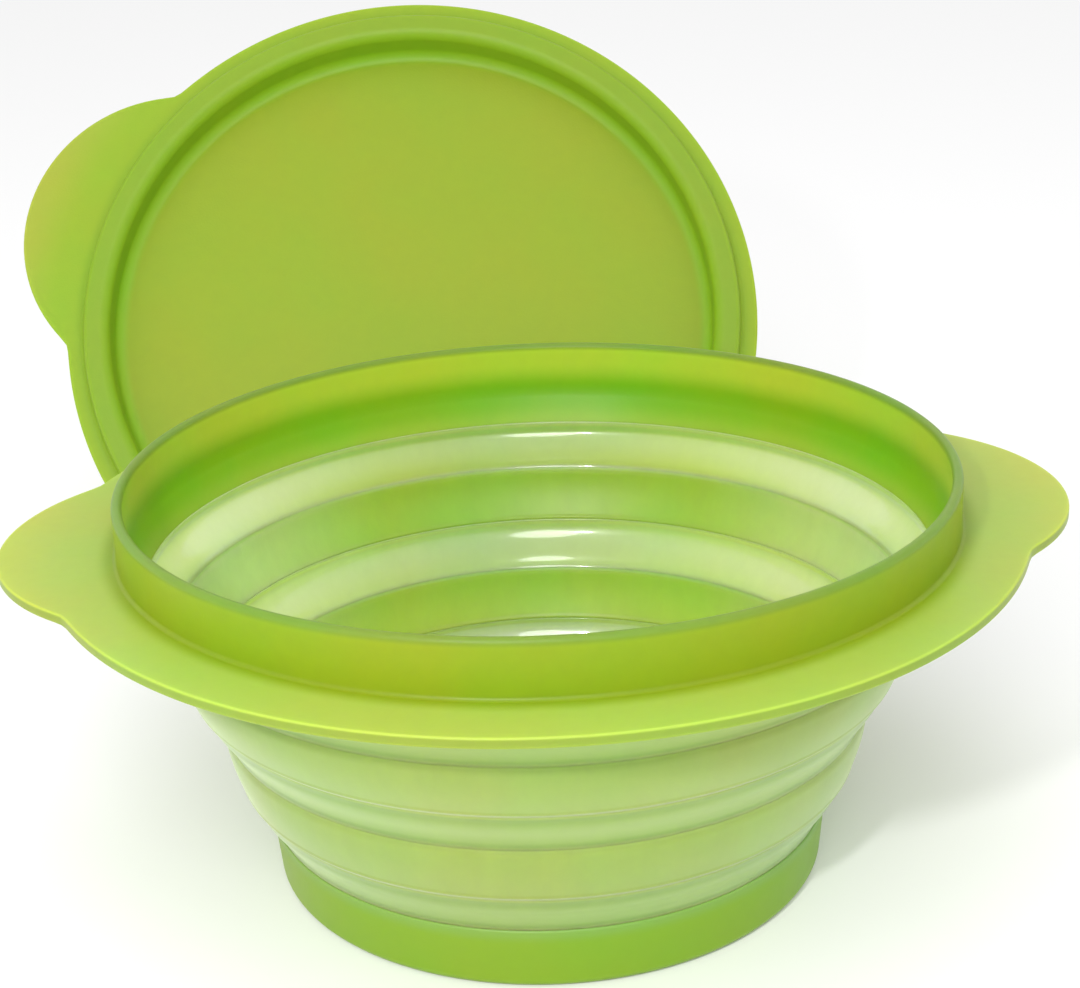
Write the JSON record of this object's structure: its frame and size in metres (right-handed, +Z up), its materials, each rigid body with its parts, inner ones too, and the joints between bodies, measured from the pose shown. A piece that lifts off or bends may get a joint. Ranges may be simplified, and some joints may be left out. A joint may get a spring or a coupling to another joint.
{
  "type": "fold-flat lidded bowl",
  "caption": "Collapsible bowl whose soft stepped wall folds into nested rings under a stiff rim with tab handles, with its lid standing behind it.",
  "frame": {"origin": "centre of the foot's underside, on the surface that the bowl stands on", "axes": "+Z up along the bowl's axis, +Y towards the standing lid, +X roughly along the tab handles"},
  "size_m": [0.2171, 0.2656, 0.1332],
  "materials": {
    "base_plastic": "satin, slightly translucent lime green",
    "ring_rubber": "satin, translucent lime green",
    "web_rubber": "satin, thin and milky, pale green",
    "rim_plastic": "satin, slightly translucent lime green",
    "lid_plastic": "fine matt panel with a satin rim, lime green"
  },
  "bodies": {
    "base": {"base_cup": "base_plastic", "lower_web": "web_rubber"},
    "lower_tier": {"lower_ring": "ring_rubber", "middle_web": "web_rubber"},
    "upper_tier": {"upper_ring": "ring_rubber", "upper_web": "web_rubber"},
    "rim": {"rim_ring": "rim_plastic"},
    "lid": {"lid": "lid_plastic"}
  },
  "joints": [
    {"name": "lower_fold", "type": "slide", "parent": "base", "child": "lower_tier", "axis": [0, 0, 1], "range_m": [-0.0172, 0], "deforming": ["lower_web"]},
    {"name": "middle_fold", "type": "slide", "parent": "lower_tier", "child": "upper_tier", "axis": [0, 0, 1], "range_m": [-0.0172, 0], "deforming": ["middle_web"]},
    {"name": "upper_fold", "type": "slide", "parent": "upper_tier", "child": "rim", "axis": [0, 0, 1], "range_m": [-0.0162, 0], "deforming": ["upper_web"]},
    {"name": "lid_lift", "type": "slide", "parent": "base", "child": "lid", "axis": [0, 0.585, 0.8111], "range_m": [0, 0.15]}
  ]
}
